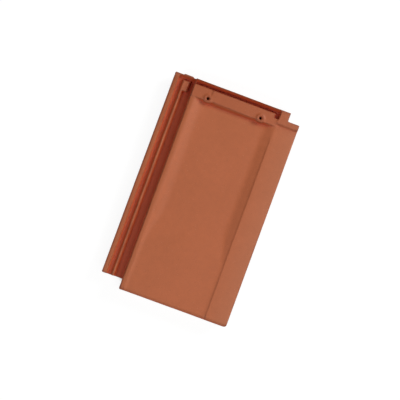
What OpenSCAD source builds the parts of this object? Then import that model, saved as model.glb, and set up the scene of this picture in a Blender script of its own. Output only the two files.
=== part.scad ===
// Interlocking clay roof tile: one pressed and fired piece, lying face up on its nibs and nose.
// The head, with the nail holes, points along +Y, and the covering flap is on the +X side.

/* [Tile] */
// Overall width, from the side lock to the edge of the flap
tile_w = 281; // [240:1:330]
// Overall length, from the nose to the lug on the head
tile_l = 466; // [400:1:540]
// Height of the crests and the flap above the bed
crest_z = 40; // [38:0.5:46]
// Thickness of the body under the face
body_t = 13; // [10:0.5:14]

/* [Trough] */
// Depth of the trough at the nose
foot_depth = 2.2; // [0.5:0.1:4]
// Depth of the trough at the upper end of its ramp
ramp_depth = 7.5; // [5:0.1:9]
// Depth of the trough where it meets the head lock
head_depth = 6; // [4:0.1:8]
// Distance from the nose to the start of the ramp in the trough
ramp_from = 105; // [60:1:140]
// Distance from the nose to the end of the ramp in the trough
ramp_to = 195; // [160:1:300]
// Width of the left cove at the nose
left_cove_foot = 8; // [6:0.5:20]
// Width of the left cove above the ramp
left_cove = 26; // [20:1:40]
// Width of the right cove at the nose
right_cove_foot = 8; // [5:0.5:16]
// Width of the right cove at the end of the ramp
right_cove = 26; // [20:1:40]
// Width of the right cove at the head lock
right_cove_head = 26; // [14:1:30]
// Width of the rounded shoulder beside the side lock
shoulder_w = 8; // [6:0.5:12]
// Drop of the rounded shoulder
shoulder_h = 2.4; // [1.5:0.1:5]

/* [Nose] */
// Radius of the upper edge of the nose
nose_r = 8; // [4:0.5:10]
// Thickness of the lip under the nose
lip_t = 10; // [8:0.5:14]
// Length over which the lip runs out into the underside
lip_run = 6; // [4:0.5:10]
// Radius of the corner between the nose and the flap
flap_corner_r = 6; // [3:0.5:9]

/* [Side lock] */
// Width of the side lock, outside the body
lock_w = 46; // [42:0.5:55]
// Height of the ribs of the side lock above the bed
lock_rib_z = 30; // [28:0.5:30]
// Height of the floor of the narrow groove above the bed
groove_floor_z = 22.5; // [21:0.5:23]
// Height of the floor of the wide channel above the bed
channel_floor_z = 19; // [18:0.5:20]
// Height of the underside of the wide channel above the bed
channel_under_z = 12; // [11:0.5:12.5]
// Width of the outer rib at its top
outer_rib_w = 9.5; // [7:0.5:12]
// Distance from the outer edge to the middle of the inner rib
inner_rib_at = 23.5; // [22:0.5:26]
// Width of the inner rib at its top
inner_rib_w = 3.6; // [3:0.2:5]
// Run of a rib's flank from its top to the channel floor
rib_flank = 3; // [2:0.5:4]
// Run of the inner rib's flank down to the floor of the wide channel
channel_flank = 4; // [3:0.5:5]
// Length cut away from the side lock at the nose
lock_cut = 21; // [18:0.5:30]

/* [Flap] */
// Width of the flap, right of the trough
flap_w = 47; // [42:1:56]
// Thickness of the flap
flap_t = 9.5; // [8:0.5:9.5]
// Height of the ribs under the flap
flap_rib_h = 6; // [4:0.5:6]
// Side clearance between the flap and the body of the next tile
side_gap = 1.5; // [1:0.25:3]
// Width cut away from the flap at the head
notch_w = 26; // [18:1:32]
// Length cut away from the flap at the head
notch_l = 18.2; // [12:0.2:22]
// Distance from the head to the upper end of the slope across the flap
flap_slope_from = 28; // [26:0.5:30]
// Distance from the head to the lower end of the slope across the flap
flap_slope_to = 34; // [33:0.5:40]

/* [Head lock] */
// Rise of the head platform above the crests
platform_rise = 2.5; // [1.5:0.25:3.5]
// Distance from the head to the front edge of the platform
platform_l = 37; // [35:0.5:42]
// Fall of the platform from the head groove to its front edge
platform_fall = 1.6; // [0:0.1:2.2]
// Rise of the panel on the platform, at its left edge, from where it runs out to the right
panel_rise = 1.3; // [0.5:0.1:1.6]
// Rise of the head rib above the platform
head_rib_rise = 1.8; // [1:0.1:2.5]
// Run of the sloping flank of the head rib
head_rib_run = 6.5; // [5:0.5:8]
// Distance from the head to the far edge of the head groove
head_groove_to = 11.5; // [10:0.5:13]
// Depth of the head groove below the platform
head_groove_depth = 9.5; // [7:0.5:10]
// Width of the pocket at the right end of the head groove
pocket_w = 11; // [9:0.5:16]
// Distance from the head to the near end of the pocket
pocket_l = 21; // [18:0.5:24]
// Distance from the head to the near end of the raised pad in the side channel
pad_to = 33; // [26:1:38]
// Width of the raised pad in the side channel
pad_w = 16; // [12:0.5:17]
// Width of the lug on the head edge
lug_w = 20; // [10:1:24]
// Reach of the lug beyond the head edge
lug_out = 1.8; // [1:0.2:4]

/* [Nail holes] */
// Diameter of a nail hole
hole_d = 6; // [4:0.5:7]
// Distance between the two nail holes
hole_spacing = 116; // [90:1:130]
// Distance from the head to the nail holes
hole_at = 31.5; // [28:0.5:33]
// Diameter of the countersink
sink_d = 9; // [8:0.5:11]
// Diameter of the boss around a nail hole, at its foot
boss_d = 23; // [20:0.5:25]
// Height of the boss above the platform
boss_h = 1.8; // [0.8:0.1:2.5]

/* [Nibs] */
// Width of a nib at its root
nib_w = 40; // [30:1:50]
// Length of a nib, along the tile, at its root
nib_l = 14; // [11:0.5:16]
// Distance between the middles of the two nibs
nib_spacing = 92; // [70:1:110]
// Distance from the head to a nib
nib_at = 4; // [3:0.5:6]

/* [Hidden] */
$fn = 48;

// Segments in each rounded corner, and in the run-out of each cove
corner_steps = 4;
run_steps = 4;
// Draft of the flanks that the press leaves, as run for each unit of height
draft = 0.12;
// How far a fused piece reaches into its neighbour
root = 3;
// Amount by which a cut passes the faces it opens
past = 1;
// Small offset that keeps the faces of fused pieces from lying in one plane
seam = 0.2;

head_y = tile_l - lug_out;
crest_left = lock_w + shoulder_w;
crest_right = tile_w - flap_w;
platform_z = crest_z + platform_rise;
under_z = crest_z - body_t;
flap_under_z = crest_z - flap_t;
flap_edge_r = 3;
lip_edge_r = 2;
lock_under_z = groove_floor_z - 7;
rim_under_z = channel_under_z + 4;
rim_w = body_t;
pitch = tile_w - lock_w + side_gap;
inner_from = inner_rib_at - inner_rib_w / 2;
inner_to = inner_rib_at + inner_rib_w / 2;

function mix(a, b, t) = a + (b - a) * t;
function share(v, from, to) = max(0, min(1, (v - from) / (to - from)));
function ease(t) = t * t * (3 - 2 * t);
function back(list) = [for (i = [len(list) - 1:-1:0]) list[i]];
// Drop of a rounded edge of radius r at a distance y from the edge
function round_off(y, r) = y >= r ? 0 : r - sqrt(r * r - (r - y) * (r - y));

// How far up the ramp a section lies, and how far beyond it, each from 0 to 1
function up_ramp(y) = ease(share(y, ramp_from, ramp_to));
function past_ramp(y) = share(y, ramp_to, head_y - platform_l);
// Size at a section, from its values at the nose, at the end of the ramp and at the head
function by_length(y, foot, ramp, head) = mix(mix(foot, ramp, up_ramp(y)), head, past_ramp(y));

// Drop of a cove at a part u of its width: the slope sets in, holds, and then runs out on the floor
function cove_drop(u, onset, hold) =
    (u < onset ? u * u / (2 * onset)
        : u < hold ? u - onset / 2
        : u - onset / 2 - (u - hold) * (u - hold) / (2 * (1 - hold)))
    / ((1 + hold - onset) / 2);
// Points of a cove from its crest, at [0, 0], down to the trough floor, at [1, 1]
function cove(onset, hold) =
    let (
        setting_in = hold > onset ? onset : onset / 2,
        running_out = [for (i = [1:run_steps]) mix(hold, 1, i / run_steps)]
    )
    [for (u = [0, setting_in, hold, each running_out]) [u, cove_drop(u, onset, hold)]];
left_coves = cove(0.2, 0.2);
right_coves = cove(0.06, 0.48);

// Points of an arc of radius r that rounds the corner b between a and c
function corner(a, b, c, r) =
    let (
        u = (a - b) / norm(a - b),
        v = (c - b) / norm(c - b),
        half = acos(u * v) / 2,
        middle = b + (u + v) / norm(u + v) * r / sin(half),
        p = b + u * r / tan(half) - middle,
        q = b + v * r / tan(half) - middle,
        from = atan2(p.y, p.x),
        turn = atan2(p.x * q.y - p.y * q.x, p * q)
    )
    [for (i = [0:corner_steps])
        middle + r * [cos(from + turn * i / corner_steps), sin(from + turn * i / corner_steps)]];

// Outline through [x, y, radius] corners
function rounded(list) = [
    for (i = [0:len(list) - 1])
        let (
            n = len(list),
            a = list[(i + n - 1) % n],
            b = list[i],
            c = list[(i + 1) % n]
        )
        each b[2] > 0 ? corner([a.x, a.y], [b.x, b.y], [c.x, c.y], b[2]) : [[b.x, b.y]]
];

// Outline of [distance from the head, z, radius] corners, as [y, z, radius]
function from_head(list) = [for (p = list) [head_y - p[0], p[1], p[2]]];

// Extrudes an outline of x and z along the tile, between two distances from the nose
module along(from, to) {
    translate([0, to, 0]) rotate([90, 0, 0]) linear_extrude(to - from) children();
}

// Extrudes an outline of y and z across the tile, between two distances from the left edge
module across(from, to) {
    translate([from, 0, 0]) rotate([90, 0, 90]) linear_extrude(to - from) children();
}

// One closed section of the body at a distance y from the nose, from the left rim over the face
// to the edge of the flap, and back along the underside
function body_section(y) =
    let (
        depth = by_length(y, foot_depth, ramp_depth, head_depth),
        left = by_length(y, left_cove_foot, left_cove, left_cove),
        right = by_length(y, right_cove_foot, right_cove, right_cove_head),
        top = crest_z - round_off(y, nose_r),
        rise = (platform_rise + seam) * ease(share(y, head_y - flap_slope_to, head_y - flap_slope_from)),
        edge = tile_w - round_off(y, flap_corner_r),
        lip = 1 - ease(share(y, lip_t, lip_t + lip_run)),
        lip_z = head_depth + round_off(y, lip_edge_r),
        lip_left = mix(left, left_cove, lip),
        lip_right = mix(right, right_cove_head, lip),
        lip_depth = mix(depth, head_depth, lip),
        under = mix(under_z, lip_z, lip),
        flap_under = mix(flap_under_z, lip_z, lip),
        rim_under = mix(rim_under_z, lip_z, lip)
    )
    [
        for (i = [0:corner_steps])
            let (a = 90 * i / corner_steps)
            [crest_left - shoulder_w * cos(a), y, top - shoulder_h * (1 - sin(a))],
        for (i = [1:len(left_coves) - 1])
            let (c = left_coves[i])
            [crest_left + left * c.x, y, top - depth * c.y],
        for (c = back(right_coves)) [crest_right - right * c.x, y, top + rise - (depth + rise) * c.y],
        for (i = [0:corner_steps])
            let (a = 90 * i / corner_steps)
            [edge - flap_edge_r * (1 - sin(a)), y, top + rise - flap_edge_r * (1 - cos(a))],
        [edge - draft * flap_t / 2, y, flap_under],
        [crest_right + root, y, flap_under],
        for (c = right_coves) [crest_right - lip_right * c.x, y, under - lip_depth * c.y],
        for (c = back(left_coves)) [crest_left + rim_w / 2 + lip_left * c.x, y, under - lip_depth * c.y],
        [lock_w + rim_w, y, rim_under],
        [lock_w - draft * rim_w / 2, y, rim_under]
    ];

// Distances from the nose at which the body is given a section
body_stations = [
    for (i = [0:5]) nose_r * (1 - cos(18 * i)),
    for (i = [0:3]) lip_t + lip_run * i / 3,
    for (i = [0:9]) mix(ramp_from, ramp_to, i / 9),
    for (i = [0:4]) head_y - mix(flap_slope_to, flap_slope_from, i / 4),
    head_y
];

// The body: field with its trough, flap, left rim and nose lip, skinned through its sections
module body() {
    rings = [for (y = body_stations) body_section(y)];
    n = len(rings[0]);
    last = len(rings) - 1;
    polyhedron(
        points = [for (r = rings) each r],
        faces = [
            [for (i = [0:n - 1]) i],
            [for (i = [n - 1:-1:0]) last * n + i],
            for (k = [0:last - 1], i = [0:n - 1])
                let (j = (i + 1) % n)
                each [
                    [k * n + i, (k + 1) * n + i, (k + 1) * n + j],
                    [k * n + i, (k + 1) * n + j, k * n + j]
                ]
        ]
    );
}

// Side lock: outer rib, narrow groove, inner rib and the wide water channel beside the body
module side_lock() {
    along(lock_cut, head_y - 3 * seam) polygon(rounded([
        [2, lock_under_z, 2],
        [0, groove_floor_z, 0],
        [0, lock_rib_z - 1, 5],
        [outer_rib_w, lock_rib_z, 1.5],
        [outer_rib_w + rib_flank, groove_floor_z, 1.5],
        [inner_from - rib_flank, groove_floor_z, 1.5],
        [inner_from, lock_rib_z - 0.5, 1.4],
        [inner_to, lock_rib_z - 0.5, 1.4],
        [inner_to + channel_flank, channel_floor_z, 2],
        [lock_w + root, channel_floor_z, 0],
        [lock_w + rim_w - 2, rim_under_z + 1, 0],
        [lock_w + 1, channel_under_z, 2],
        [inner_to + 2, channel_under_z, 2],
        [inner_from - 3, lock_under_z, 2]
    ]));
}

// Raised pad that widens the inner rib below the head groove
module channel_pad() {
    along(head_y - pad_to, head_y - head_rib_run) polygon(rounded([
        [inner_from, channel_floor_z - root, 0],
        [inner_from + 0.4, lock_rib_z - 0.8, 1.2],
        [inner_from + pad_w - 2, lock_rib_z - 1.2, 4],
        [inner_from + pad_w, channel_floor_z - root, 0]
    ]));
}

// Rib along the head edge, with a long flank that slopes down towards the nose
module head_rib(from, to, level, foot) {
    across(from, to) polygon(rounded(from_head([
        [2 * seam, foot, 0],
        [2 * seam, level + head_rib_rise, 0.5],
        [1.4, level + head_rib_rise, 0.4],
        [head_rib_run, level - 2 * seam, 0],
        [head_rib_run + 2, foot, 0]
    ])));
}

// Head ribs of the side lock and of the body, with the lug that stands out of the head edge
module head_ribs() {
    head_rib(3 * seam, lock_w + root, lock_rib_z, lock_under_z + 1);
    head_rib(lock_w, tile_w - notch_w + past, platform_z, under_z + root);
    translate([lock_w / 2 - 3, head_y - 1, lock_under_z + 3])
        cube([lug_w, 1 + lug_out, lock_rib_z + head_rib_rise - lock_under_z - 3.7]);
}

// Two ribs under the flap, which drop into the narrow groove and the channel of the next tile
module flap_ribs() {
    low = flap_under_z - flap_rib_h;
    high = flap_under_z + root;
    groove_mid = pitch + (outer_rib_w + inner_from) / 2;
    edge = tile_w - draft * flap_t / 2 - 2 * seam;
    near = lip_t + lip_run + 4;
    along(near, head_y - notch_l + past) polygon(rounded([
        [groove_mid - 4, high, 0],
        [groove_mid - 1.8, low, 1.5],
        [groove_mid + 1.8, low, 1.5],
        [groove_mid + 4, high, 0]
    ]));
    along(near, head_y - notch_l + past) polygon(rounded([
        [edge - 11, high, 0],
        [edge - 7.5, low, 1.5],
        [edge - 1, low, 1.5],
        [edge, high, 0]
    ]));
}

// Height of the platform's face at a distance s from the head
function platform_top(s) = platform_z - platform_fall * share(s, head_groove_to, platform_l);

// Head platform, whose steep front runs out on the trough floor
module platform() {
    foot = under_z + root;
    across(lock_w + seam, crest_right + 2) polygon(rounded(from_head([
        [seam, foot, 0],
        [seam, platform_z, 0],
        [head_groove_to, platform_z, 0],
        [platform_l, platform_top(platform_l), 2],
        [platform_l + 0.65 * (platform_top(platform_l) - foot), foot, 0]
    ])));
}

// Shallow panel between the bosses, square at its left edge, which runs out to the right
module panel() {
    run = platform_l - head_groove_to;
    left = tile_w / 2 - hole_spacing / 2 + 5;
    translate([left, head_y - head_groove_to, platform_z])
        rotate([atan(platform_fall / run), 0, 0])
        along(1.5 - run, 0.5) polygon([
            [0, -root],
            [0.3, panel_rise],
            [hole_spacing - 34, 0.3],
            [hole_spacing - 34, -root]
        ]);
}

// Boss that stands up around a nail hole and bulges out of the platform's front
module boss() {
    rotate_extrude() polygon(rounded([
        [0, -3 * root, 0],
        [boss_d / 2 + 1, -3 * root, 0],
        [boss_d / 2, -seam, 0],
        [boss_d / 2 - 3.5, boss_h, 2],
        [0, boss_h, 0]
    ]));
}

// Nib that hooks the tile over a batten, drafted on three sides and square to the batten
module nib() {
    high = under_z + root;
    intersection() {
        along(0, nib_l) polygon(rounded([
            [-nib_w / 2, high, 0],
            [-nib_w / 2 + 3, 0, 2.5],
            [nib_w / 2 - 3, 0, 2.5],
            [nib_w / 2, high, 0]
        ]));
        across(-nib_w / 2, nib_w / 2) polygon(rounded([
            [0, high, 0],
            [0, 0, 2],
            [nib_l - 2.5, 0, 2.5],
            [nib_l, high, 0]
        ]));
    }
}

// Groove behind the head rib, which drains through the rim into the side channel
module head_groove() {
    low = platform_z - head_groove_depth;
    high = platform_z + head_rib_rise + 0.5;
    across(lock_w - root, crest_right + 1) polygon(rounded(from_head([
        [1.4, high, 0],
        [0.5 * head_groove_to, low, 1],
        [head_groove_to - draft * head_groove_depth, low, 1],
        [head_groove_to + 0.5, high, 0]
    ])));
    across(outer_rib_w + rib_flank - 0.5, lock_w) polygon(rounded(from_head([
        [1.4, lock_rib_z + head_rib_rise + 0.5, 0],
        [0.5 * head_groove_to, groove_floor_z + seam, 0],
        [0.9 * head_groove_to, groove_floor_z + seam, 0],
        [head_groove_to, lock_rib_z + head_rib_rise + 0.5, 0]
    ])));
}

// Pocket at the right end of the head groove, steep towards the flap
module head_pocket() {
    low = platform_z - head_groove_depth + seam;
    along(head_y - pocket_l, head_y - head_groove_to / 2) polygon(rounded([
        [crest_right + 1 - pocket_w, platform_z + seam, 0],
        [crest_right + 1 - pocket_w + 0.25 * head_groove_depth, low, 2],
        [crest_right + 0.2, low, 1],
        [crest_right + 1, platform_z + past, 0],
        [crest_right + 1 - pocket_w, platform_z + past, 0]
    ]));
}

// Corner taken out of the flap at the head
module flap_notch() {
    translate([tile_w - notch_w, head_y - notch_l, 0])
        cube([notch_w + past, notch_l + past, platform_z + head_rib_rise + past]);
}

// Nail hole with its countersink, drilled down from the top of a boss
module nail_hole() {
    sink_depth = (sink_d - hole_d) / 2;
    translate([0, 0, -platform_z - past]) cylinder(d = hole_d, h = platform_z + boss_h + 2 * past);
    translate([0, 0, boss_h - sink_depth])
        cylinder(d1 = hole_d, d2 = sink_d + 2 * past, h = sink_depth + past);
}

// Puts its child at both sides of the middle of the tile
module both_sides(spacing) {
    for (side = [-1, 1]) translate([tile_w / 2 + side * spacing / 2, 0, 0]) children();
}

module tile() {
    color("#ab6445")
    translate([-tile_w / 2, -tile_l / 2, 0])
    difference() {
        union() {
            body();
            side_lock();
            channel_pad();
            head_ribs();
            flap_ribs();
            platform();
            panel();
            both_sides(hole_spacing) translate([0, head_y - hole_at, platform_top(hole_at)]) boss();
            both_sides(nib_spacing) translate([0, head_y - nib_at - nib_l, 0]) nib();
        }
        head_groove();
        head_pocket();
        flap_notch();
        both_sides(hole_spacing) translate([0, head_y - hole_at, platform_top(hole_at)]) nail_hole();
    }
}

tile();
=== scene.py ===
import math

import bmesh
import bpy
import numpy as np
from mathutils import Matrix, Vector


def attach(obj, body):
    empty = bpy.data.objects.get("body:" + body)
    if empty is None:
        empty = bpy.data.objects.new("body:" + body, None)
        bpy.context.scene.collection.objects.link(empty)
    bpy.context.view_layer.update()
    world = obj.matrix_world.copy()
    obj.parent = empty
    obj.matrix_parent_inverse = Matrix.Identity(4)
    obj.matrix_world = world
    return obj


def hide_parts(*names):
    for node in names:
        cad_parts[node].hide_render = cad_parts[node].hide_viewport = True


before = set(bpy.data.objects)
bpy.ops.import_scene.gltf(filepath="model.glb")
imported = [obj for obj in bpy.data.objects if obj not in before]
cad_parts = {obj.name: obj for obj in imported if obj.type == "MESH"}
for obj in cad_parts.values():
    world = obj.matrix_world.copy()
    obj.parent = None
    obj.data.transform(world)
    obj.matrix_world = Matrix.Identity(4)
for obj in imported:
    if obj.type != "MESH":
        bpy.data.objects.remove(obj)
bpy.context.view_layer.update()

scene = bpy.context.scene
scene.view_settings.view_transform = "Standard"
print("frame loaded", list(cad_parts))


# camera: nearly straight down, a little from the foot and the lock side
cameraSet = {
    "target": (-0.0005, -0.0028, 0.030),
    "distance": 2.0,
    "tiltToLock": 2.45,  # degrees off the vertical, towards -X
    "tiltToFoot": 1.79,  # degrees off the vertical, towards -Y
    "roll": 20.25,  # the tile lies turned in the picture
    "pixelsPerMm": 0.4816,  # at the target, in a picture 400 pixels wide
    "pictureWidth": 400,
    "sensor": 36.0,
}


def makeCamera():
    tilt = math.radians(math.hypot(cameraSet["tiltToLock"], cameraSet["tiltToFoot"]))
    side = math.atan2(cameraSet["tiltToLock"], cameraSet["tiltToFoot"])
    turn = math.radians(cameraSet["roll"]) + side
    look = Vector((math.sin(side) * math.sin(tilt), math.cos(side) * math.sin(tilt), -math.cos(tilt)))
    flatRight = Vector((math.cos(side), -math.sin(side), 0.0))
    flatUp = flatRight.cross(look)
    right = flatRight * math.cos(turn) + flatUp * math.sin(turn)
    up = flatUp * math.cos(turn) - flatRight * math.sin(turn)
    lens = cameraSet["pixelsPerMm"] * cameraSet["distance"] * 1000.0  # distance in mm
    lens *= cameraSet["sensor"] / cameraSet["pictureWidth"]
    data = bpy.data.cameras.new("tileCamera")
    data.sensor_width = cameraSet["sensor"]
    data.lens = lens
    camera = bpy.data.objects.new("tileCamera", data)
    scene.collection.objects.link(camera)
    turned = Matrix((right, up, -look)).transposed().to_4x4()
    place = Vector(cameraSet["target"]) - look * cameraSet["distance"]
    camera.matrix_world = Matrix.Translation(place) @ turned
    scene.camera = camera
    print("camera lens", round(lens, 1), "mm")


makeCamera()


# nodes that the floor and the clay both use
def newMaterial(name):
    material = bpy.data.materials.new(name)
    material.use_nodes = True
    material.node_tree.nodes.clear()
    return material, material.node_tree


def mathNode(tree, operation, first, second):
    node = tree.nodes.new("ShaderNodeMath")
    node.operation = operation
    tree.links.new(first, node.inputs[0])
    tree.links.new(second, node.inputs[1])
    return node.outputs[0]


def ranged(tree, value, span, to=(0.0, 1.0)):
    # the value, spread from one span to another and held within it
    spread = tree.nodes.new("ShaderNodeMapRange")
    for name, number in zip(("From Min", "From Max", "To Min", "To Max"), span + to):
        spread.inputs[name].default_value = number
    tree.links.new(value, spread.inputs["Value"])
    return spread.outputs["Result"]


# light: a low soft box over the head and the flap side, one nearly overhead, two fills from the foot
lightSet = {
    "away": 3.6,
    "boxWidth": 1.5,
    # name: (degrees from +X towards +Y, degrees above the floor, watts)
    "boxes": {
        "keyBox": (45.0, 30.0, 100.0),
        "overBox": (0.0, 70.0, 18.5),
        "flapFill": (315.0, 45.0, 27.5),
        "lockFill": (225.0, 45.0, 44.0),
    },
    "dome": 0.01,  # light of the world, which the camera sees as white
    "floorSize": 6.0,
    "floorLevel": -0.0002,
    "floorTone": 0.8,  # what the floor throws back onto the tile
    "floorSeen": 0.90,  # the floor's own white towards the camera
    "floorShade": 0.15,  # the rest of it, which takes the light and the shadow
    "floorShadowReach": 0.06,  # reach of the painted shadow: near the tile the floor's white is turned down, and under it the white goes out
    "floorOpen": (0.25, 0.45),  # share of open air at which it is out, and at which it is full
    "floorSamples": 32,
}


def softBox(name, turn, height, power):
    data = bpy.data.lights.new(name, "AREA")
    data.shape = "DISK"
    data.size = lightSet["boxWidth"]
    data.energy = power
    lamp = bpy.data.objects.new(name, data)
    scene.collection.objects.link(lamp)
    turn, height = math.radians(turn), math.radians(height)
    flat = math.cos(height)
    place = Vector((math.cos(turn) * flat, math.sin(turn) * flat, math.sin(height))) * lightSet["away"]
    lamp.location = place
    lamp.rotation_mode = "QUATERNION"
    lamp.rotation_quaternion = (-place).to_track_quat("-Z", "Y")


def whiteWorld(tree, strength):
    shade = tree.nodes.new("ShaderNodeBackground")
    shade.inputs["Color"].default_value = (1.0, 1.0, 1.0, 1.0)
    shade.inputs["Strength"].default_value = strength
    return shade.outputs[0]


def makeWorld():
    world = bpy.data.worlds.new("studio")
    scene.world = world
    world.use_nodes = True
    tree = world.node_tree
    tree.nodes.clear()
    out = tree.nodes.new("ShaderNodeOutputWorld")
    path = tree.nodes.new("ShaderNodeLightPath")
    mix = tree.nodes.new("ShaderNodeMixShader")
    tree.links.new(path.outputs["Is Camera Ray"], mix.inputs["Fac"])
    tree.links.new(whiteWorld(tree, lightSet["dome"]), mix.inputs[1])
    tree.links.new(whiteWorld(tree, 1.0), mix.inputs[2])
    tree.links.new(mix.outputs[0], out.inputs["Surface"])


def seenDirectly(tree):
    # 1 for rays from the camera, from gloss and through glass
    path = tree.nodes.new("ShaderNodeLightPath")
    seen = path.outputs["Is Camera Ray"]
    for kind in ("Is Glossy Ray", "Is Transmission Ray"):
        seen = mathNode(tree, "MAXIMUM", seen, path.outputs[kind])
    return seen


def floorFinish():
    material, tree = newMaterial("paleFloor")
    nodes, links = tree.nodes, tree.links
    out = nodes.new("ShaderNodeOutputMaterial")
    plain = nodes.new("ShaderNodeBsdfDiffuse")
    plain.inputs["Color"].default_value = (lightSet["floorTone"],) * 3 + (1.0,)
    # painted shadow: ambient occlusion turns the floor's white and its light-taking part down round and
    # under the tile
    paintedShadow = nodes.new("ShaderNodeAmbientOcclusion")
    paintedShadow.samples = lightSet["floorSamples"]
    paintedShadow.inputs["Distance"].default_value = lightSet["floorShadowReach"]
    clear = ranged(tree, paintedShadow.outputs["AO"], lightSet["floorOpen"], (0.0, lightSet["floorSeen"]))
    white = nodes.new("ShaderNodeEmission")
    links.new(clear, white.inputs["Strength"])
    shade = nodes.new("ShaderNodeBsdfDiffuse")
    dim = ranged(tree, clear, (0.0, lightSet["floorSeen"]), (0.0, lightSet["floorShade"]))
    links.new(dim, shade.inputs["Color"])
    seen = nodes.new("ShaderNodeAddShader")
    links.new(shade.outputs[0], seen.inputs[0])
    links.new(white.outputs[0], seen.inputs[1])
    mix = nodes.new("ShaderNodeMixShader")
    links.new(seenDirectly(tree), mix.inputs["Fac"])
    links.new(plain.outputs[0], mix.inputs[1])
    links.new(seen.outputs[0], mix.inputs[2])
    links.new(mix.outputs[0], out.inputs["Surface"])
    return material


def makeFloor():
    half, level = lightSet["floorSize"] / 2, lightSet["floorLevel"]
    mesh = bpy.data.meshes.new("floor")
    corners = [(-half, -half, level), (half, -half, level), (half, half, level), (-half, half, level)]
    mesh.from_pydata(corners, [], [(0, 1, 2, 3)])
    floor = bpy.data.objects.new("floor", mesh)
    scene.collection.objects.link(floor)
    mesh.materials.append(floorFinish())


for boxName, (boxTurn, boxHeight, boxPower) in lightSet["boxes"].items():
    softBox(boxName, boxTurn, boxHeight, boxPower)
makeWorld()
makeFloor()
print("light and floor set")


# the pressed and fired tile
tileSet = {
    "weld": 1e-6,
    "voxel": 0.0011,  # the edges come out about this soft
    "softenRounds": 3,
    "softenIn": 0.5,  # share of the way to the mean of the neighbours
    "softenBack": 0.53,  # and back out, so that nothing shrinks
    "easeRounds": 20,  # further rounds away from the edges, which ease the coves
    "edgeRounds": 4,  # how far an edge is felt
    "edgeBelow": 0.980,  # where the faces agree less than this in direction there is an edge
    "edgeSpan": 0.016,  # and this much above it there is none
    "triangles": 170000,
    "wave": 0.00022,  # slow unevenness of a pressed face
    "waveLength": 0.060,
    "ripple": 0.00007,
    "rippleLength": 0.014,
    "seed": 7,
    "noiseCells": 32,
    "skyStep": 0.0015,  # grid of heights that tells which spots are sheltered
    "skyReach": 16,  # grid steps
    "skyTurns": 16,  # directions that are looked in
    "skyDepth": 0.008,  # a spot this far below the top of its cell is on the underside
    "skyFade": 0.004,
    "arrisBend": 250.0,  # bend of a full arris, per metre
    "markRounds": 2,
    # heights between which the lines below set in, so that the underside keeps its shape
    "topFace": (0.032, 0.036),
    # the line across the flap, pressed tighter and deeper than the slope under it
    "flapLine": {
        "along": 0.2002,
        "from": 0.084,
        "fade": 0.010,
        "tighten": 0.25,
        "reach": 0.0055,
        "deep": 0.0009,
        "deepAt": 0.0032,  # from the line towards the foot
        "deepToHead": 0.0030,
        "deepToFoot": 0.0090,
    },
    # the line along the trough's right edge
    "coveLine": {"across": 0.0920, "from": 0.185, "to": 0.150, "tighten": 0.55, "reach": 0.0050},
    # the fronts of the two bosses, drawn back towards the head
    "bossFront": {
        "across": 0.058,
        "along": 0.1997,
        "draw": 0.0025,
        "half": 0.010,
        "setIn": (0.003, 0.009),  # towards the foot
        "goOut": (0.014, 0.026),
    },
}


def meshPoints(mesh):
    points = np.empty(len(mesh.vertices) * 3, np.float32)
    mesh.vertices.foreach_get("co", points)
    return points.reshape(-1, 3).astype(np.float64)


def setPoints(mesh, points):
    mesh.vertices.foreach_set("co", points.astype(np.float32).ravel())
    mesh.update()


def meshNormals(mesh):
    normals = np.empty(len(mesh.vertices) * 3, np.float32)
    mesh.vertex_normals.foreach_get("vector", normals)
    return normals.reshape(-1, 3).astype(np.float64)


def meshEdges(mesh):
    edges = np.empty(len(mesh.edges) * 2, np.int32)
    mesh.edges.foreach_get("vertices", edges)
    return edges.reshape(-1, 2)


def neighbourMean(values, edges):
    ends = np.concatenate((edges[:, 0], edges[:, 1]))
    others = np.concatenate((edges[:, 1], edges[:, 0]))
    count = np.maximum(np.bincount(ends, minlength=len(values)), 1)
    if values.ndim == 1:
        return np.bincount(ends, values[others], len(values)) / count
    columns = [np.bincount(ends, column[others], len(values)) for column in values.T]
    return np.stack(columns, 1) / count[:, None]


def smoothShare(values, low, high):
    share = np.clip((values - low) / (high - low), 0.0, 1.0)
    return share * share * (3.0 - 2.0 * share)


def faceShare(mesh, edges):
    # 1 on faces and slow curves, 0 beside an edge
    spread = meshNormals(mesh)
    for _ in range(tileSet["edgeRounds"]):
        spread = neighbourMean(spread, edges)
    agree = np.linalg.norm(spread, axis=1)
    return np.clip((agree - tileSet["edgeBelow"]) / tileSet["edgeSpan"], 0.0, 1.0)


def slowNoise(points, length, seed):
    # smooth lattice noise, about -1 to 1, with blobs of the given length
    cells = tileSet["noiseCells"]
    lattice = np.random.RandomState(seed).uniform(-1.0, 1.0, (cells, cells, cells))
    grid = points / length
    cell = np.floor(grid).astype(int)
    part = smoothShare(grid - cell, 0.0, 1.0)
    total = np.zeros(len(points))
    for corner in range(8):
        step = np.array([corner & 1, corner >> 1 & 1, corner >> 2 & 1])
        weight = np.prod(np.where(step == 1, part, 1.0 - part), axis=1)
        spot = (cell + step) % cells
        total += weight * lattice[spot[:, 0], spot[:, 1], spot[:, 2]]
    return total


def applied(piece, kind, **values):
    # the piece's mesh with one modifier taken into it
    modifier = piece.modifiers.new(kind.lower(), kind)
    for name, value in values.items():
        setattr(modifier, name, value)
    graph = bpy.context.evaluated_depsgraph_get()
    graph.update()
    made = bpy.data.meshes.new_from_object(piece.evaluated_get(graph), depsgraph=graph)
    piece.modifiers.clear()
    old = piece.data
    piece.data = made
    bpy.data.meshes.remove(old)
    return made


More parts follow.
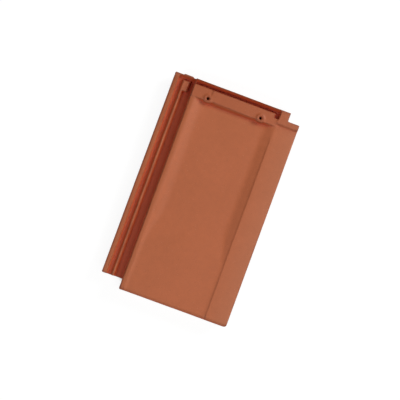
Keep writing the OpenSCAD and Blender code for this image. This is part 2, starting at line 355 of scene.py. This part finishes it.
def drawHeadRelief(points):
    line, cove, boss = tileSet["flapLine"], tileSet["coveLine"], tileSet["bossFront"]
    across, along, height = points[:, 0], points[:, 1], points[:, 2]
    above = smoothShare(height, *tileSet["topFace"])

    far = along - line["along"]
    onFlap = smoothShare(across, line["from"], line["from"] + line["fade"])
    move = -far * line["tighten"] * onFlap * np.exp(-(far / line["reach"]) ** 2)
    below = far + line["deepAt"]
    width = np.where(below > 0.0, line["deepToHead"], line["deepToFoot"])
    drop = line["deep"] * onFlap * np.exp(-(below / width) ** 2)

    beside = across - cove["across"]
    low = smoothShare(-along, -cove["from"], -cove["to"])
    aside = -beside * cove["tighten"] * low * np.exp(-(beside / cove["reach"]) ** 2)

    toFoot = boss["along"] - along
    front = smoothShare(toFoot, *boss["setIn"]) * (1.0 - smoothShare(toFoot, *boss["goOut"]))
    for middle in (-boss["across"], boss["across"]):
        move += boss["draw"] * front * np.exp(-((across - middle) / boss["half"]) ** 2)

    points[:, 0] += aside * above
    points[:, 1] += move * above
    points[:, 2] -= drop * above


def heightGrid(points):
    # highest point of the tile over each cell, with a border of floor
    border = tileSet["skyReach"] + 2  # two cells to spare
    low = points[:, :2].min(0)
    spot = np.round((points[:, :2] - low) / tileSet["skyStep"]).astype(int) + border
    heights = np.zeros(spot.max(0) + border + 1)
    np.maximum.at(heights, (spot[:, 0], spot[:, 1]), points[:, 2])
    return {"low": low, "border": border, "heights": heights}


def pressedTile():
    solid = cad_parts["tile"].data.copy()
    work = bmesh.new()
    work.from_mesh(solid)
    bmesh.ops.remove_doubles(work, verts=work.verts, dist=tileSet["weld"])
    bmesh.ops.triangulate(work, faces=work.faces)
    work.to_mesh(solid)
    work.free()
    tile = bpy.data.objects.new("roofTile", solid)
    scene.collection.objects.link(tile)
    mesh = applied(tile, "REMESH", mode="VOXEL", voxel_size=tileSet["voxel"])
    print("remeshed", len(mesh.vertices), "points")

    points, edges = meshPoints(mesh), meshEdges(mesh)
    for _ in range(tileSet["softenRounds"]):
        points += tileSet["softenIn"] * (neighbourMean(points, edges) - points)
        points -= tileSet["softenBack"] * (neighbourMean(points, edges) - points)
    points += tileSet["softenIn"] * (neighbourMean(points, edges) - points)
    setPoints(mesh, points)
    share = tileSet["softenIn"] * faceShare(mesh, edges)[:, None]
    for _ in range(tileSet["easeRounds"]):
        points += share * (neighbourMean(points, edges) - points)
    drawHeadRelief(points)
    setPoints(mesh, points)
    normals = meshNormals(mesh)
    push = tileSet["wave"] * slowNoise(points, tileSet["waveLength"], tileSet["seed"])
    push += tileSet["ripple"] * slowNoise(points, tileSet["rippleLength"], tileSet["seed"] + 1)
    points += normals * push[:, None]
    setPoints(mesh, points)
    heights = heightGrid(points)

    triangles = 2 * len(mesh.polygons)
    mesh = applied(tile, "DECIMATE", ratio=min(1.0, tileSet["triangles"] / triangles))
    mesh.polygons.foreach_set("use_smooth", [True] * len(mesh.polygons))
    print("softened", len(mesh.polygons), "faces")
    return tile, heights


def shelteredShare(points, grid):
    # share of the sky that a spot of the face loses to what stands round it
    heights, step, turns = grid["heights"], tileSet["skyStep"], tileSet["skyTurns"]
    lost = np.zeros_like(heights)
    for turn in range(turns):
        angle = turn * math.tau / turns
        away = np.array([math.cos(angle), math.sin(angle)])
        steepest = np.zeros_like(heights)
        for far in range(1, tileSet["skyReach"] + 1):
            shift = np.round(away * far).astype(int)
            rise = np.roll(heights, (-shift[0], -shift[1]), (0, 1)) - heights
            steepest = np.maximum(steepest, rise / (np.hypot(*shift) * step))
        lost += steepest ** 2 / (1.0 + steepest ** 2) / turns
    spot = np.round((points[:, :2] - grid["low"]) / step).astype(int) + grid["border"]
    below = heights[spot[:, 0], spot[:, 1]] - points[:, 2]
    onTop = np.clip((tileSet["skyDepth"] - below) / tileSet["skyFade"], 0.0, 1.0)
    return lost[spot[:, 0], spot[:, 1]] * onTop


def settled(values, edges):
    for _ in range(tileSet["markRounds"]):
        values = 0.5 * values + 0.5 * neighbourMean(values, edges)
    return values


def arrisShare(points, normals, edges):
    # how far a spot stands out from those round it, 0 to 1
    a, b = edges[:, 0], edges[:, 1]
    line = points[b] - points[a]
    far = np.maximum((line ** 2).sum(1), 1e-10)  # no edge counts as shorter than 0.01 mm
    bendA = -(line * normals[a]).sum(1) / far
    bendB = (line * normals[b]).sum(1) / far
    ends = np.concatenate((a, b))
    count = np.maximum(np.bincount(ends, minlength=len(points)), 1)
    bend = np.bincount(ends, np.concatenate((bendA, bendB)), len(points)) / count
    return np.clip(settled(bend, edges) / tileSet["arrisBend"], 0.0, 1.0)


def markFaces(mesh, grid):
    # the clay reads both marks
    points, edges = meshPoints(mesh), meshEdges(mesh)
    arris = arrisShare(points, meshNormals(mesh), edges)
    sheltered = settled(shelteredShare(points, grid), edges)
    for name, values in (("arris", arris), ("sheltered", sheltered)):
        layer = mesh.attributes.new(name, "FLOAT", "POINT")
        layer.data.foreach_set("value", values.astype(np.float32))
        print("marked", name, "mean", round(float(values.mean()), 4), "most", round(float(values.max()), 3))


# the fired clay: cloudy burnt orange, sandy grain, iron specks, darker arrises, painted shade in the hollows
# and over the head, a painted sheen along the flap
claySet = {
    "deep": (0.438, 0.117, 0.0410),
    "warm": (0.466, 0.124, 0.0448),
    # noises: (cells to the metre, detail)
    "cloud": (16.0, 3.0),
    "mottle": (95.0, 4.0),
    "grain": (1100.0, 3.0),
    "noiseRough": 0.55,
    "noiseSpan": (0.3, 0.7),  # where most of a noise lies
    "mottleTone": (0.97, 1.03),
    "grainTone": (0.92, 1.08),
    # tints: (what decides on it, none of it at and all of it at, what is kept of the colour)
    "tints": {
        "hollowShade": ("sheltered", (0.06, 0.26), (1.06, 0.61, 0.50)),  # painted shade: darker and redder where a spot loses sky to what stands round it
        "groove": ("sheltered", (0.42, 0.56), (0.95, 0.64, 0.45)),  # painted shade: darker still in the deep grooves, on top of that
        "flapSheen": ("X", (0.085, 0.140), (1.00, 1.15, 1.36)),  # painted sheen: paler and whiter towards the flap's edge
        "head": ("Y", (0.185, 0.198), (0.92, 0.86, 0.84)),  # painted shade: darker over the head band
    },
    # specks: (channel of the cell's colour, from which level on, colour)
    "specks": {
        "iron": ("Red", 0.90, (0.150, 0.042, 0.0200)),
        "sand": ("Green", 0.92, (0.600, 0.280, 0.1600)),
    },
    "speckScale": 330.0,
    "speckEdge": (0.10, 0.22),  # in cells
    "speckFade": 0.02,
    "speckShare": 0.55,
    "arris": (0.280, 0.066, 0.0260),
    "arrisSpan": (0.05, 0.36),
    "arrisMottle": (0.35, 0.65),
    "arrisKept": (0.6, 1.0),  # here less and there more of it
    "rough": (0.50, 0.60),
    "gloss": 0.42,
    # bumps: (strength, depth in metres)
    "mottleBump": (0.35, 0.00030),
    "grainBump": (0.5, 0.00012),
}


def noiseNode(tree, coords, scale, detail):
    noise = tree.nodes.new("ShaderNodeTexNoise")
    noise.inputs["Scale"].default_value = scale
    noise.inputs["Detail"].default_value = detail
    noise.inputs["Roughness"].default_value = claySet["noiseRough"]
    tree.links.new(coords, noise.inputs["Vector"])
    return noise.outputs["Fac"]


def blended(tree, share, first, second, kind="MIX"):
    # first and second are colours or sockets; a mix node has its colours at 6 and 7, and out at 2
    mix = tree.nodes.new("ShaderNodeMix")
    mix.data_type = "RGBA"
    mix.blend_type = kind
    if isinstance(share, float):
        mix.inputs["Factor"].default_value = share
    else:
        tree.links.new(share, mix.inputs["Factor"])
    for socket, colour in ((mix.inputs[6], first), (mix.inputs[7], second)):
        if isinstance(colour, tuple):
            socket.default_value = colour + (1.0,)
        else:
            tree.links.new(colour, socket)
    return mix.outputs[2]


def markNode(tree, name):
    mark = tree.nodes.new("ShaderNodeAttribute")
    mark.attribute_name = name
    return mark.outputs["Fac"]


def bumped(tree, height, strength, depth, under=None):
    bump = tree.nodes.new("ShaderNodeBump")
    bump.inputs["Strength"].default_value = strength
    bump.inputs["Distance"].default_value = depth
    tree.links.new(height, bump.inputs["Height"])
    if under is not None:
        tree.links.new(under, bump.inputs["Normal"])
    return bump.outputs[0]


def firedClay():
    material, tree = newMaterial("firedClay")
    nodes, links = tree.nodes, tree.links
    out = nodes.new("ShaderNodeOutputMaterial")
    clay = nodes.new("ShaderNodeBsdfPrincipled")
    links.new(clay.outputs[0], out.inputs["Surface"])
    coords = nodes.new("ShaderNodeTexCoord").outputs["Object"]
    cloud, mottle, grain = [noiseNode(tree, coords, *claySet[name]) for name in ("cloud", "mottle", "grain")]
    span = claySet["noiseSpan"]

    colour = blended(tree, ranged(tree, cloud, span), claySet["deep"], claySet["warm"])
    for noise, tone in ((mottle, "mottleTone"), (grain, "grainTone")):
        colour = blended(tree, 1.0, colour, ranged(tree, noise, span, claySet[tone]), "MULTIPLY")

    place = nodes.new("ShaderNodeSeparateXYZ")
    links.new(coords, place.inputs[0])
    deciding = {"sheltered": markNode(tree, "sheltered"), "X": place.outputs["X"], "Y": place.outputs["Y"]}
    # the tints are painted light: painted shade in the hollows, the grooves and over the head, a painted
    # sheen along the flap's edge
    for source, within, tint in claySet["tints"].values():
        colour = blended(tree, ranged(tree, deciding[source], within), colour, tint, "MULTIPLY")

    # a cell now and then holds a grain of iron or sand
    cells = nodes.new("ShaderNodeTexVoronoi")
    cells.inputs["Scale"].default_value = claySet["speckScale"]
    links.new(coords, cells.inputs["Vector"])
    spot = ranged(tree, cells.outputs["Distance"], claySet["speckEdge"], (1.0, 0.0))
    pick = nodes.new("ShaderNodeSeparateColor")
    links.new(cells.outputs["Color"], pick.inputs[0])
    for channel, level, tint in claySet["specks"].values():
        chosen = ranged(tree, pick.outputs[channel], (level, level + claySet["speckFade"]))
        both = mathNode(tree, "MULTIPLY", spot, chosen)
        colour = blended(tree, ranged(tree, both, (0.0, 1.0), (0.0, claySet["speckShare"])), colour, tint)

    # darker on the arrises
    caught = ranged(tree, markNode(tree, "arris"), claySet["arrisSpan"])
    kept = ranged(tree, mottle, claySet["arrisMottle"], claySet["arrisKept"])
    colour = blended(tree, mathNode(tree, "MULTIPLY", caught, kept), colour, claySet["arris"])
    links.new(colour, clay.inputs["Base Color"])

    clay.inputs["Specular IOR Level"].default_value = claySet["gloss"]
    links.new(ranged(tree, mottle, span, claySet["rough"]), clay.inputs["Roughness"])
    coarse = bumped(tree, mottle, *claySet["mottleBump"])
    sandy = bumped(tree, grain, *claySet["grainBump"], under=coarse)
    links.new(sandy, clay.inputs["Normal"])
    return material


tile, tileHeights = pressedTile()
markFaces(tile.data, tileHeights)
clayFinish = firedClay()
for mesh in (tile.data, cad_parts["tile"].data):
    mesh.materials.clear()
    mesh.materials.append(clayFinish)
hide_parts("tile")
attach(tile, "root")
print("tile finished")
